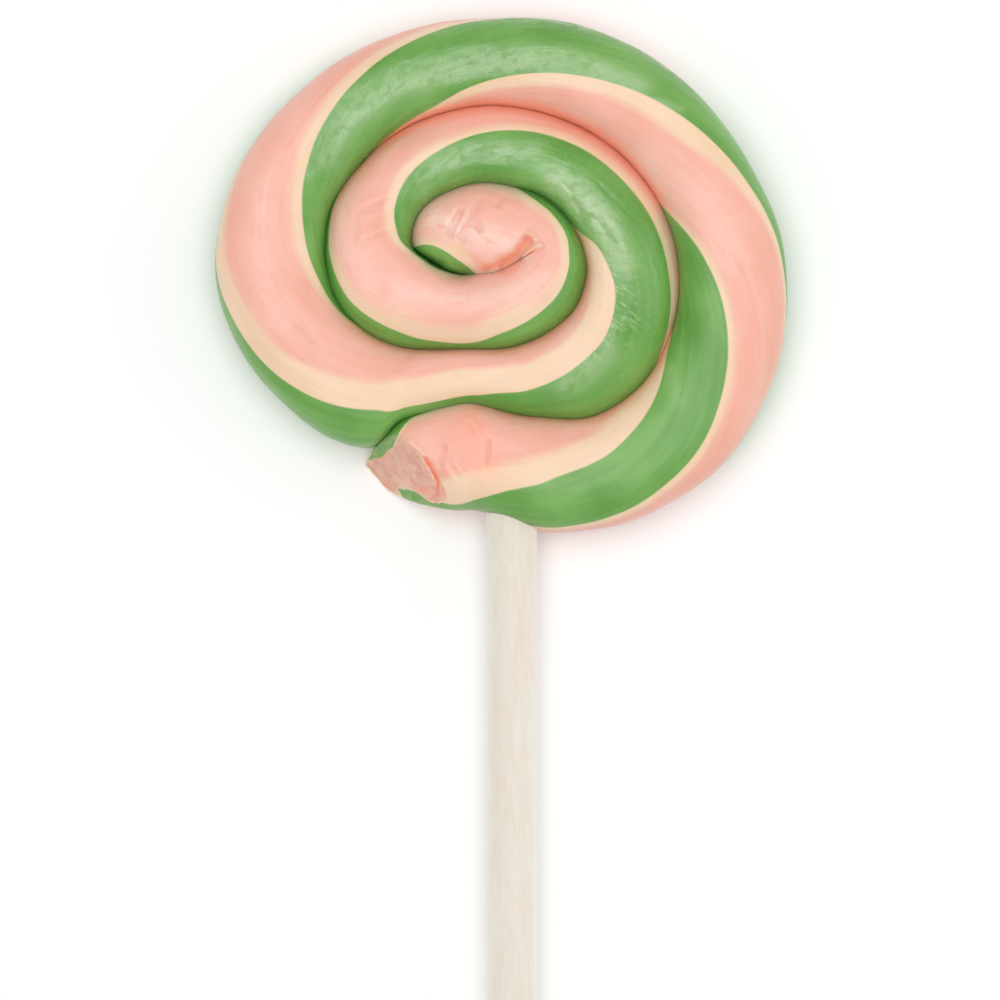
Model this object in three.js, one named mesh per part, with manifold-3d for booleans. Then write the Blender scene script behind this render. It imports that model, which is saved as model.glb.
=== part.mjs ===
// Swirl lollipop: a twisted rope of pulled sugar, coiled flat into a disc, on a rolled paper stick.
//
// Units are millimetres, +Z is up. The disc lies on its flat underside at z = 0 with its face up. The
// stick's axis is the line x = 0 and points along -Y. The origin is on the underside, below the first turn.
//
// The coil starts at a tip beside a short crease and winds outwards for almost three turns. Its angle, in
// degrees, runs clockwise seen from above: 0 points along +X, 90 along -Y. The rope's section at an angle
// stands on a ray that leaves the crease in that direction.
import * as THREE from "three";
import { mergeVertices } from "three/addons/utils/BufferGeometryUtils.js";
import Module from "manifold-3d";

const wasm = await Module();
wasm.setup();

const { clamp, degToRad, radToDeg, smoothstep } = THREE.MathUtils;

// ---- driving dimensions ------------------------------------------------------------------------------
const CREASE = { x: -4.62, y: 7.27, half: 7.03 }; // middle and half length of the crease in the coil's eye
const DROOP = { depth: 3.5, acrossX: 6.33, acrossY: 5.67, power: 2.9 }; // it hangs down in a smile
const TIP_ANGLE = -168;
const TAIL_ANGLE = 832;
const LEAN_ANGLE = 785; // from here on the sections lean towards the snipped end
const TURN_GAP = 0.24; // between one turn and the next
const LEAST_HALF_WIDTH = 0.05; // of the section at the tip
const WIDEST_LEVEL = 0.4; // of the rope's height, where its section is widest
const ROUND_TOP = 2.25; // exponents that spread the turns over the section, its top and its base
const SQUARE_BASE = 4.2;
const FLAT_TOP = 2.8; // exponent of the top's rise
const BASE_OVERSHOOT = 1.07; // the base is cut flat at z = 0
const FULL_HALF = 6; // half width of a full rope, whose layers have their full depth
const LAYERS = { green: 1.4, cream: 0.8, gap: 0.38 };
const SIDE_GAP = 0.16; // half of the gap between two layers at the rope's surface
const MOST_GAP_TURN = 4; // degrees that it takes of a thin section
const LEAST_CORE = 0.3; // share of the way out from the section's middle that no layer reaches into

// The tail is snipped off with two faces: a point of each, and the way it faces as a heading and a lean
// upwards in degrees. The snip lies between two coil angles.
const SNIP_FACES = [
  { x: -12.9, y: -21.03, z: 6, heading: 221, lean: 28 },
  { x: -17, y: -17.8, z: 2, heading: 151, lean: 0 },
];
const SNIP_SEARCH = [790, 880];
const SEARCH_STEPS = 20;

const STICK = { radius: 3.175, length: 152, inside: 12.5, edgeY: -26.6, z: 5.6, sides: 24 };
const BORE = { clearance: 0.3, opening: 10, sides: 20 }; // its cutter reaches this far out of the disc

const RING_SPACING = 5.3; // from one section to the next, at the coil's outer turn
const MOST_STEP = 13; // degrees of coil angle between sections
// Smaller steps [from, to, step] where the rope changes fast: behind the tip, where the tail presses on
// the second turn, and at the tail.
const FINE_SPANS = [
  [-150, -75, 5], [436, 462, 5], [462, 476, 2], [476, 490, 5], [797, 817, 5], [817, 823, 3], [823, 840, 1.8],
];
const ROUND_RADIUS = 10; // of the round section that the end faces are split into triangles on
const STRIP_POINTS = 4; // points across a strip, and across each of the core's two bare sides
const CORE_POINTS = 5;
const MARGIN_POINTS = 3; // across the lining's inner margin

// The rope's width across the coil, [coil angle, mm]. The tail's end presses the second turn thin at 450.
const WIDTH = [
  [-180, 0], [-150, 1.9], [-135, 3.7], [-120, 5.9], [-105, 7.4], [-85, 8.35], [-60, 7.8], [-30, 6.4],
  [-12, 6.05], [8, 6.7], [30, 8.8], [50, 11.2], [75, 12.8], [95, 12.8], [120, 13.9], [140, 13.4],
  [165, 11.7], [185, 11.25], [210, 10.5], [245, 8.95], [300, 9.7], [390, 12.45], [420, 12], [435, 9.05],
  [450, 6.7], [457, 7.1], [465, 8.4], [468, 9.6], [470, 11.5], [472, 13.2], [480, 13.7], [495, 13.2],
  [510, 13.3], [530, 13.7], [570, 12.3], [630, 10.75], [650, 11.6], [700, 12.1], [720, 13.05],
  [765, 13.95], [780, 13.7], [796, 14.7], [808, 13.15], [814, 13.05], [824, 10.9], [832, 9.5], [880, 9],
];
// The rope's height, [coil angle, mm].
const HEIGHT = [
  [-180, 2], [-165, 5.6], [-145, 8.6], [-110, 10.8], [-60, 11.6], [60, 12.1], [240, 11.7], [400, 12],
  [450, 11.2], [490, 12.2], [720, 12.4], [800, 12.2], [850, 11],
];
// How far the rope's crest leans towards the coil's middle, [coil angle, share of the half width].
const CREST_LEAN = [[-180, 0], [225, 0], [255, 0.28], [400, 0.34], [440, 0.1], [480, 0], [850, 0]];
// Two green strips twist round the rope, each in a cream lining whose edges show beside it. A strip's
// rows are [coil angle, outer edge, inner edge], the edges as turns round the section in degrees: 0 is
// the coil's outer side, 90 the top, 180 the inner side and 270 the underside. The margins are the
// lining's widths beside it, [coil angle, degrees].
const STRIPS = [
  {
    name: "a",
    edges: [
      [-180, 404, 490], [-149, 441, 528], [-119, 467, 562], [-105, 485, 577], [-95, 499, 588],
      [-84, 521, 597], [0, 548, 628], [90, 540, 627], [130, 512, 616], [165, 505, 604], [195, 492, 592],
      [210, 483, 580], [225, 470, 571], [255, 451, 551], [285, 430, 537], [300, 424, 531],
      [330, 417, 520], [345, 413, 509], [360, 410, 490], [375, 405, 479], [390, 396, 467],
      [405, 382, 460], [422, 362, 453], [436, 352, 435], [443, 346, 427], [450, 341, 416],
      [457, 335, 414], [465, 330, 414], [468.5, 328, 420], [472, 325, 434], [480, 319, 429],
      [495, 307, 411], [510, 296, 398], [525, 286, 386], [540, 275, 370], [640, 208, 292],
      [698, 174, 234], [706, 154, 226], [721, 124, 206], [751, 81, 163], [765, 64, 133], [780, 45, 108],
      [795, 27, 84], [803, 13, 65], [810, -5, 38], [816, -25, 20], [822, -32, 9], [850, -34, 7],
    ],
    outerMargin: [
      [-180, 15], [-125, 15], [-112, 20], [-96, 34], [-80, 20], [-60, 15], [140, 15], [240, 16],
      [265, 11], [300, 10], [330, 12], [850, 9],
    ],
    innerMargin: [
      [-180, 22], [200, 24], [385, 39], [415, 32], [430, 36], [448, 48], [457, 53], [466, 46],
      [475, 33], [490, 31], [505, 26], [760, 28], [775, 32], [790, 25], [803, 27], [809, 33], [815, 44],
      [818, 36], [824, 18], [850, 18],
    ],
  },
  {
    name: "b",
    edges: [
      [-180, 262, 336], [-73, 308, 387], [-60, 314, 402], [-46, 320, 409], [-15, 340, 418],
      [18, 339, 426], [78, 325, 410], [92, 316, 396], [105, 320, 400], [124, 324, 407], [150, 316, 403],
      [165, 308, 397], [186, 300, 390], [200, 295, 388], [215, 290, 380], [240, 280, 362],
      [400, 210, 278], [480, 172, 228], [500, 154, 215], [525, 137, 203], [555, 117, 187],
      [570, 103, 179], [585, 84, 165], [600, 67, 157], [615, 48, 145], [630, 27, 121], [645, 6, 103],
      [672, -24, 75], [690, -46, 57], [705, -64, 41], [722, -84, 25], [735, -99, 9], [810, -194, -106],
      [814, -205, -110], [823, -213, -118], [826, -221, -124], [828, -242, -128], [831, -252, -132],
      [850, -253, -134],
    ],
    outerMargin: [[-180, 15], [480, 13], [505, 8], [520, 11], [560, 14], [800, 14], [810, 5], [850, 7]],
    innerMargin: [
      [-180, 14], [-120, 12], [-90, 9], [-78, 17], [-62, 14], [-48, 11], [-35, 13], [-10, 16],
      [55, 15], [68, 30], [88, 32], [100, 26], [118, 27], [130, 16], [165, 13], [178, 10],
      [192, 6], [205, 3], [225, 3], [240, 15], [655, 15], [686, 25], [700, 17], [715, 10], [850, 10],
    ],
  },
];
const STRIP_START = -134; // the strips and their linings start a little behind the tip

const PINK = new THREE.MeshStandardMaterial({ color: 0xf4b49c, roughness: 0.35, metalness: 0 });
const CREAM = new THREE.MeshStandardMaterial({ color: 0xf8dcb8, roughness: 0.35, metalness: 0 });
const GREEN = new THREE.MeshStandardMaterial({ color: 0x63a34f, roughness: 0.35, metalness: 0 });
const PAPER = new THREE.MeshStandardMaterial({ color: 0xeee4d6, roughness: 0.85, metalness: 0 });

// ---- the coil's shape --------------------------------------------------------------------------------
// Smooth value between rows of [angle, value, ...]: cubic Hermite, flat at both ends.
function between(rows, angle, column = 1) {
  const last = rows.length - 1;
  if (angle <= rows[0][0]) return rows[0][column];
  if (angle >= rows[last][0]) return rows[last][column];
  const i = rows.findIndex((row) => row[0] > angle) - 1;
  const span = rows[i + 1][0] - rows[i][0];
  const slope = (k) => {
    if (k === 0 || k === last) return 0;
    return (rows[k + 1][column] - rows[k - 1][column]) / (rows[k + 1][0] - rows[k - 1][0]);
  };
  const u = (angle - rows[i][0]) / span;
  const rise = rows[i + 1][column] - rows[i][column];
  const a = slope(i) * span - rise;
  const b = rise - slope(i + 1) * span;
  return rows[i][column] + rise * u + u * (1 - u) * (a * (1 - u) + b * u);
}

// Distance of the seam outside the turn at an angle, from the crease: the turns' widths added up.
function seam(angle) {
  let distance = 0;
  for (let a = angle; a > WIDTH[0][0]; a -= 360) distance += between(WIDTH, a);
  return distance;
}

// A point of the plan: a distance out along the ray at a coil angle.
function planPoint(angle, distance) {
  const x = (CREASE.half + distance) * Math.cos(degToRad(-angle));
  const y = distance * Math.sin(degToRad(-angle));
  const fade = Math.abs(x / DROOP.acrossX) ** DROOP.power + (y / DROOP.acrossY) ** 2;
  return new THREE.Vector2(CREASE.x + x, CREASE.y + y - DROOP.depth * Math.exp(-fade));
}

// The section at an angle, as a function from (turn round the section, depth below the surface) to
// [distance out along the ray, height].
function sectionAt(angle) {
  const inner = seam(angle - 360);
  const outer = seam(angle);
  const halfWidth = Math.max((outer - inner - TURN_GAP) / 2, LEAST_HALF_WIDTH);
  const middle = (inner + outer) / 2;
  const height = between(HEIGHT, angle);
  const level = height * WIDEST_LEVEL;
  const crestLean = between(CREST_LEAN, angle);
  const layerScale = Math.min(1, halfWidth / FULL_HALF, height / 2 / FULL_HALF);
  return {
    layerScale,
    point(turn, depth = 0) {
      const c = Math.cos(degToRad(turn));
      const s = Math.sin(degToRad(turn));
      const power = s > 0 ? ROUND_TOP : SQUARE_BASE;
      const reach = (Math.abs(c) ** power + Math.abs(s) ** power) ** (-1 / power);
      const share = reach * c;
      const leaning = clamp(share + crestLean * (1 - share ** 2), -1, 1);
      const top = (1 - Math.abs(leaning) ** FLAT_TOP) ** (1 / FLAT_TOP);
      const across = halfWidth * share;
      const up = s > 0 ? (height - level) * top : Math.max(level * BASE_OVERSHOOT * reach * s, -level);
      const keep = Math.max(1 - depth / Math.hypot(across, up), LEAST_CORE);
      return [middle + across * keep, level + up * keep];
    },
    // Half of the gap between two layers, as a turn round the section.
    gapTurn(turn) {
      const [distance, z] = this.point(turn);
      const radius = Math.hypot(distance - middle, z - level);
      return Math.min(radToDeg(SIDE_GAP / radius), MOST_GAP_TURN);
    },
  };
}

// ---- the strands' sections: lists of [turn, depth] pairs, counter-clockwise --------------------------
// Evenly spaced turns from one to another.
function spread(from, to, count) {
  return Array.from({ length: count }, (_, i) => from + ((to - from) * i) / (count - 1));
}

function atDepth(turns, depth) {
  return turns.map((turn) => [turn, depth]);
}

// The turns and depths that a green strip, its cream lining and the lining's bed in the core share.
function stripLayout(strip, angle, section) {
  const outer = between(strip.edges, angle, 1);
  const inner = between(strip.edges, angle, 2);
  const liningOuter = outer - between(strip.outerMargin, angle);
  const liningInner = inner + between(strip.innerMargin, angle);
  const widened = (first, last, way) => [
    first - way * section.gapTurn(first),
    ...spread(outer, inner, STRIP_POINTS).slice(1, -1),
    last + way * section.gapTurn(last),
  ];
  const open = smoothstep(angle, WIDTH[0][0], STRIP_START);
  const { layerScale } = section;
  return {
    green: widened(outer, inner, -1),
    channel: widened(outer, inner, 1),
    lining: widened(liningOuter, liningInner, -1),
    bed: widened(liningOuter, liningInner, 1),
    greenDepth: LAYERS.green * layerScale,
    channelDepth: LAYERS.green * layerScale + LAYERS.gap,
    liningDepth: (LAYERS.green + LAYERS.cream) * layerScale + LAYERS.gap,
    bedDepth: ((LAYERS.green + LAYERS.cream) * layerScale + 2 * LAYERS.gap) * open,
  };
}

function greenOutline(strip, angle, section) {
  const { green, greenDepth } = stripLayout(strip, angle, section);
  return [...atDepth(green, 0), ...atDepth(green.toReversed(), greenDepth)];
}

function liningOutline(strip, angle, section) {
  const { lining, channel, channelDepth, liningDepth } = stripLayout(strip, angle, section);
  return [
    ...atDepth([lining[0], channel[0]], 0),
    ...atDepth(channel, channelDepth),
    ...atDepth(spread(channel.at(-1), lining.at(-1), MARGIN_POINTS), 0),
    ...atDepth(lining.toReversed(), liningDepth),
  ];
}

// The core fills the rope but for the two beds that the linings lie in.
function coreOutline(angle, section) {
  const [a, b] = STRIPS.map((strip) => stripLayout(strip, angle, section));
  const wrap = 360 * Math.ceil((a.bed.at(-1) - b.bed[0]) / 360);
  const nextB = b.bed.map((turn) => turn + wrap);
  const surface = (from, to) => atDepth(spread(from, to, CORE_POINTS), 0);
  return [
    ...atDepth(a.bed, a.bedDepth),
    ...surface(a.bed.at(-1), nextB[0]),
    ...atDepth(nextB, b.bedDepth),
    ...surface(nextB.at(-1), a.bed[0] + 360),
  ];
}

// ---- the snipped end ---------------------------------------------------------------------------------
const SNIP_PLANES = SNIP_FACES.map(({ x, y, z, heading, lean }) => {
  const flat = Math.cos(degToRad(lean));
  const facing = new THREE.Vector3(
    Math.cos(degToRad(heading)) * flat,
    Math.sin(degToRad(heading)) * flat,
    Math.sin(degToRad(lean)),
  );
  return new THREE.Plane().setFromNormalAndCoplanarPoint(facing, new THREE.Vector3(x, y, z));
});

// A point of a strand: turn and depth in the section at a coil angle.
function strandPoint(angle, turn, depth) {
  const [distance, z] = sectionAt(angle).point(turn, depth);
  const { x, y } = planPoint(angle, distance);
  return new THREE.Vector3(x, y, z);
}

// The coil angle at which a strand's line of points meets the snipped end.
function snipAngle(turn, depth) {
  let [low, high] = SNIP_SEARCH;
  for (let i = 0; i < SEARCH_STEPS; i++) {
    const middle = (low + high) / 2;
    const point = strandPoint(middle, turn, depth);
    const inside = SNIP_PLANES.every((plane) => plane.distanceToPoint(point) < 0);
    if (inside) low = middle;
    else high = middle;
  }
  return low;
}

// ---- solids ------------------------------------------------------------------------------------------
// Coil angles of the sections that all strands share, so that the layers nest.
function ringAngles() {
  const angles = [TIP_ANGLE];
  while (angles.at(-1) < TAIL_ANGLE) {
    const angle = angles.at(-1);
    const radius = Math.max(seam(angle) + CREASE.half / 2, 1);
    const coarse = Math.min(radToDeg(RING_SPACING / radius), MOST_STEP);
    const fine = FINE_SPANS.find(([from, to]) => angle >= from && angle < to);
    angles.push(angle + (fine ? fine[2] : coarse));
  }
  return angles;
}

// A (turn, depth) pair's place in a round section, where no three points of an outline lie in a line.
function roundPoint([turn, depth]) {
  return new THREE.Vector2(ROUND_RADIUS - depth, 0).rotateAround(new THREE.Vector2(), degToRad(turn));
}

// A closed solid through one section outline for each coil angle. The last sections lean over, more and
// more, until the tail ends in the snip's faces.
function loft(angles, outlineAt) {
  const vertices = [];
  const triangles = [];
  let count = 0;
  for (const angle of angles) {
    const ring = outlineAt(angle, sectionAt(angle));
    const lean = Math.max(0, (angle - LEAN_ANGLE) / (angles.at(-1) - LEAN_ANGLE));
    count = ring.length;
    for (const [turn, depth] of ring) {
      const reached = lean > 0 ? LEAN_ANGLE + lean * (snipAngle(turn, depth) - LEAN_ANGLE) : angle;
      vertices.push(...strandPoint(reached, turn, depth));
    }
  }
  for (let r = 0; r + 1 < angles.length; r++) {
    for (let i = 0; i < count; i++) {
      const j = (i + 1) % count;
      const near = r * count;
      const far = near + count;
      triangles.push(near + i, near + j, far + i, near + j, far + j, far + i);
    }
  }
  for (const r of [0, angles.length - 1]) {
    const round = outlineAt(angles[r], sectionAt(angles[r])).map(roundPoint);
    for (const [i, j, k] of THREE.ShapeUtils.triangulateShape(round, [])) {
      const [p, q, s] = [i, j, k].map((n) => n + r * count);
      triangles.push(...(r === 0 ? [s, q, p] : [p, q, s]));
    }
  }
  return new wasm.Manifold(
    new wasm.Mesh({
      numProp: 3,
      vertProperties: new Float32Array(vertices),
      triVerts: new Uint32Array(triangles),
    }),
  );
}

function solidOf(geometry) {
  const bare = geometry.clone();
  bare.deleteAttribute("normal");
  bare.deleteAttribute("uv");
  const merged = mergeVertices(bare);
  return new wasm.Manifold(
    new wasm.Mesh({
      numProp: 3,
      vertProperties: new Float32Array(merged.attributes.position.array),
      triVerts: new Uint32Array(merged.index.array),
    }),
  );
}

function geometryOf(solid) {
  const mesh = solid.getMesh();
  const geometry = new THREE.BufferGeometry();
  geometry.setAttribute("position", new THREE.BufferAttribute(new Float32Array(mesh.vertProperties), 3));
  geometry.setIndex([...mesh.triVerts]);
  geometry.computeVertexNormals();
  return geometry;
}

// The bore that the stick stands in, open at the disc's edge.
function stickBore() {
  const radius = STICK.radius + BORE.clearance;
  const depth = STICK.inside + BORE.clearance + BORE.opening;
  const cutter = new THREE.CylinderGeometry(radius, radius, depth, BORE.sides);
  cutter.translate(0, STICK.edgeY - BORE.opening + depth / 2, STICK.z);
  return solidOf(cutter);
}

function mainPiece(solid) {
  const pieces = solid.decompose();
  return pieces.reduce((a, b) => (a.volume() > b.volume() ? a : b));
}

const bore = stickBore();

function candy(name, material, firstAngle, outlineAt) {
  const whole = loft(ringAngles().filter((angle) => angle >= firstAngle), outlineAt);
  const mesh = new THREE.Mesh(geometryOf(mainPiece(whole.subtract(bore))), material);
  mesh.name = name;
  return mesh;
}

function stick() {
  const geometry = new THREE.CylinderGeometry(STICK.radius, STICK.radius, STICK.length, STICK.sides);
  const mesh = new THREE.Mesh(geometry, PAPER);
  mesh.name = "stick";
  mesh.position.set(0, STICK.edgeY + STICK.inside - STICK.length / 2, STICK.z);
  return mesh;
}

const lollipop = new THREE.Group();
lollipop.add(candy("candy_core_pink", PINK, TIP_ANGLE, coreOutline));
for (const strip of STRIPS) {
  lollipop.add(
    candy(`candy_lining_cream_${strip.name}`, CREAM, STRIP_START, (angle, section) =>
      liningOutline(strip, angle, section)),
    candy(`candy_strip_green_${strip.name}`, GREEN, STRIP_START, (angle, section) =>
      greenOutline(strip, angle, section)),
  );
}
lollipop.add(stick());

export default lollipop;
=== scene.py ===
import math

import bpy
import numpy as np
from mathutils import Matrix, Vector, noise


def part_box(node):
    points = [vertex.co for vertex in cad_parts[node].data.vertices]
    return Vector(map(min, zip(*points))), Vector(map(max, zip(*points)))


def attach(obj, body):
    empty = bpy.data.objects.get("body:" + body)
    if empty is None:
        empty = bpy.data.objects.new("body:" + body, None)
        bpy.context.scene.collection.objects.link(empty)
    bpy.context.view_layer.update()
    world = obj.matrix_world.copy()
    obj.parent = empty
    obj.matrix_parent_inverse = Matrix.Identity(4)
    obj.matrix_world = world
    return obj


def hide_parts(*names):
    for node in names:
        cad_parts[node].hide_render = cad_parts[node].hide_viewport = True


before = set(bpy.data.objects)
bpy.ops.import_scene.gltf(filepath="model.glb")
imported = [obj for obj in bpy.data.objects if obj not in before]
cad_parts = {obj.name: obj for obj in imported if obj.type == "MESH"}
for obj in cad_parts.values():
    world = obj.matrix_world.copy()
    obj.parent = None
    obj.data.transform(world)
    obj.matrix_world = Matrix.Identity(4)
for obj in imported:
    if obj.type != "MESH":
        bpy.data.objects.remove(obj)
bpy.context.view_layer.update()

MM = 0.001

# ---- the coil, in millimetres and degrees: the same driving dimensions as the CAD solids ---------
# The coil starts round a crease: its middle, and half its length.
CREASE_X, CREASE_Y, CREASE_HALF = -4.62, 7.27, 7.03
# How far the coil's middle sags towards the stick, and how wide the sagging part is.
DROOP_DEPTH, DROOP_X, DROOP_Y, DROOP_POWER = 3.5, 6.33, 5.67, 2.9
# Coil angles of the rope's tip, of its tail, and of where its rings start to lean like the tail.
TIP_ANGLE, TAIL_ANGLE, LEAN_ANGLE = -177.0, 832.0, 785.0
SEAM_TURNS = 4  # a seam's distance is the sum of the widths of at most so many turns
WIDEST_LEVEL = 0.4  # share of the rope's height at which it is widest
# Exponents of its section above and below that level, and how far below the floor it would reach.
ROUND_TOP, FLAT_TOP, SQUARE_BASE, BASE_OVERSHOOT = 2.25, 2.8, 4.2, 1.07
LEAST_HALF_WIDTH = 0.03
# The snipped end has two faces: a point, and the way it faces as a heading and a lean upwards.
SNIP_FACES = (((-12.9, -21.03, 6.0), 221.0, 28.0), ((-17.0, -17.8, 2.0), 151.0, 0.0))

# Rows of [coil angle, millimetres].
WIDTH = [
    [-180, 0], [-150, 1.9], [-135, 3.7], [-120, 5.9], [-105, 7.4], [-85, 8.35], [-60, 7.8],
    [-30, 6.4], [-12, 6.05], [8, 6.7], [30, 8.8], [50, 11.2], [75, 12.8], [95, 12.8], [120, 13.9],
    [140, 13.4], [165, 11.7], [185, 11.25], [210, 10.5], [245, 8.95], [300, 9.7], [390, 12.45],
    [420, 12], [435, 9.05], [450, 6.7], [457, 7.1], [465, 8.4], [468, 9.6], [470, 11.5],
    [472, 13.2], [480, 13.7], [495, 13.2], [510, 13.3], [530, 13.7], [570, 12.3], [630, 10.75],
    [650, 11.6], [700, 12.1], [720, 13.05], [765, 13.95], [780, 13.7], [796, 14.7], [808, 13.15],
    [814, 13.05], [824, 10.9], [832, 9.5], [880, 9],
]
HEIGHT = [
    [-180, 2], [-165, 5.6], [-145, 8.6], [-110, 10.8], [-60, 11.6], [60, 12.1], [240, 11.7],
    [400, 12], [450, 11.2], [490, 12.2], [720, 12.4], [800, 12.2], [850, 11],
]
# Rows of [coil angle, how far a turn reaches past its seam into the neighbour].
PRESSED_INNER = [[150, 0], [185, 0.3], [800, 0.3], [812, 0.6], [850, 0.6]]
PRESSED_OUTER = [[-180, 0.3], [440, 0.3], [452, 0.6], [464, 0.6], [474, 0]]
CREASE_PRESSED, CREASE_OPENS = 0.8, (70.0, 105.0)  # the same along the crease's outer half
# Rows of [coil angle, how far the rope's crest leans towards the coil's middle].
CREST_LEAN = [[-180, 0], [225, 0], [255, 0.28], [400, 0.34], [440, 0.1], [480, 0], [850, 0]]
# Rows of [coil angle, outer edge, inner edge] of a green strip, as turns round the rope's section,
# and of [coil angle, how many degrees of cream lie beside that edge].
STRIPS = {
    "a": {
        "edges": [
            [-180, 404, 490], [-149, 441, 528], [-119, 467, 562], [-105, 485, 577], [-95, 499, 588],
            [-84, 521, 597], [0, 548, 628], [90, 540, 627], [130, 512, 616], [165, 505, 604],
            [195, 492, 592], [210, 483, 580], [225, 470, 571], [255, 451, 551], [285, 430, 537],
            [300, 424, 531], [330, 417, 520], [345, 413, 509], [360, 410, 490], [375, 405, 479],
            [390, 396, 467], [405, 382, 460], [422, 362, 453], [436, 352, 435], [443, 346, 427],
            [450, 341, 416], [457, 335, 414], [465, 330, 414], [468.5, 328, 420], [472, 325, 434],
            [480, 319, 429], [495, 307, 411], [510, 296, 398], [525, 286, 386], [540, 275, 370],
            [640, 208, 292], [698, 174, 234], [706, 154, 226], [721, 124, 206], [751, 81, 163],
            [765, 64, 133], [780, 45, 108], [795, 27, 84], [803, 13, 65], [810, -5, 38],
            [816, -25, 20], [822, -32, 9], [850, -34, 7],
        ],
        "outer_margin": [
            [-180, 15], [-125, 15], [-112, 17], [-96, 24], [-80, 17], [-60, 15], [140, 15],
            [240, 16], [265, 11], [300, 10], [330, 12], [850, 9],
        ],
        "inner_margin": [
            [-180, 22], [200, 24], [385, 39], [415, 32], [430, 36], [448, 48], [457, 53], [466, 46],
            [475, 33], [490, 31], [505, 26], [760, 28], [775, 32], [790, 25], [803, 27], [809, 33],
            [815, 44], [818, 36], [824, 18], [850, 18],
        ],
    },
    "b": {
        "edges": [
            [-180, 262, 336], [-73, 308, 387], [-60, 314, 402], [-46, 320, 409], [-15, 340, 418],
            [18, 339, 426], [78, 325, 410], [92, 316, 396], [105, 320, 400], [124, 324, 407],
            [150, 316, 403], [165, 308, 397], [186, 300, 390], [200, 295, 388], [215, 290, 380],
            [240, 280, 362], [400, 210, 278], [480, 172, 228], [500, 154, 215], [525, 137, 203],
            [555, 117, 187], [570, 103, 179], [585, 84, 165], [600, 67, 157], [615, 48, 145],
            [630, 27, 121], [645, 6, 103], [672, -24, 75], [690, -46, 57], [705, -64, 41],
            [722, -84, 25], [735, -99, 9], [810, -194, -106], [814, -205, -110], [823, -213, -118],
            [826, -221, -124], [828, -242, -128], [831, -252, -132], [850, -253, -134],
        ],
        "outer_margin": [
            [-180, 15], [480, 13], [505, 8], [520, 11], [560, 14], [800, 14], [810, 9], [850, 10],
        ],
        "inner_margin": [
            [-180, 14], [-120, 12], [-90, 9], [-78, 17], [-62, 14], [-48, 11], [-35, 13], [-10, 16],
            [55, 13], [68, 22], [88, 24], [100, 21], [118, 20], [130, 15], [165, 13], [178, 10],
            [192, 6], [205, 3], [225, 3], [240, 15], [655, 15], [686, 25], [700, 17], [715, 10],
            [850, 10],
        ],
    },
}

# ---- the snipped end, in rows of [turn round the section, millimetres] ---------------------------
# How round its rim is.
RIM = [[0, 0.5], [25, 1], [60, 1], [90, 0.6], [130, 1.3], [190, 1.3], [220, 0.6], [360, 0.5]]
# How deep the strips' green shows on it.
CUT_GREEN_B = [
    [85, -1], [95, 0.3], [103, 0.7], [112, 1.1], [122, 3.6], [141, 4.6], [171, 4.3], [216, 3.8],
    [225, 2.5], [240, 1.0], [250, -1],
]
CUT_GREEN_A = [
    [-50, -1], [-40, 0], [-32, 1.3], [-14, 1.65], [0, 1.5], [5, 1.0], [10, 0.4], [14, 0], [24, -1],
]
CREAM_LINE = 0.25  # width of the cream round that green
ON_END = 0.6  # share of the rim's rounding from which a point shows the cut's green and cream
CUT_FADE = (0.35, 0.9)  # shares between which the look of a cut sets in
# Its bumps, as a pace and a share of their height, and that height.
CUT_BUMPS, CUT_ROUGH = ((0.9, 1.0), (2.3, 0.5)), 0.22

# ---- relief and marks on the candy ---------------------------------------------------------------
# Lumps of the pulled rope: pace round it, pace along it, shift along it, height.
LUMPS = ((1.6, 0.10, 0.0, 0.15), (4.5, 0.26, 40.0, 0.045))
LUMPS_FROM = 3.0  # the lumps flatten out where the rope's radius is smaller than this
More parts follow.
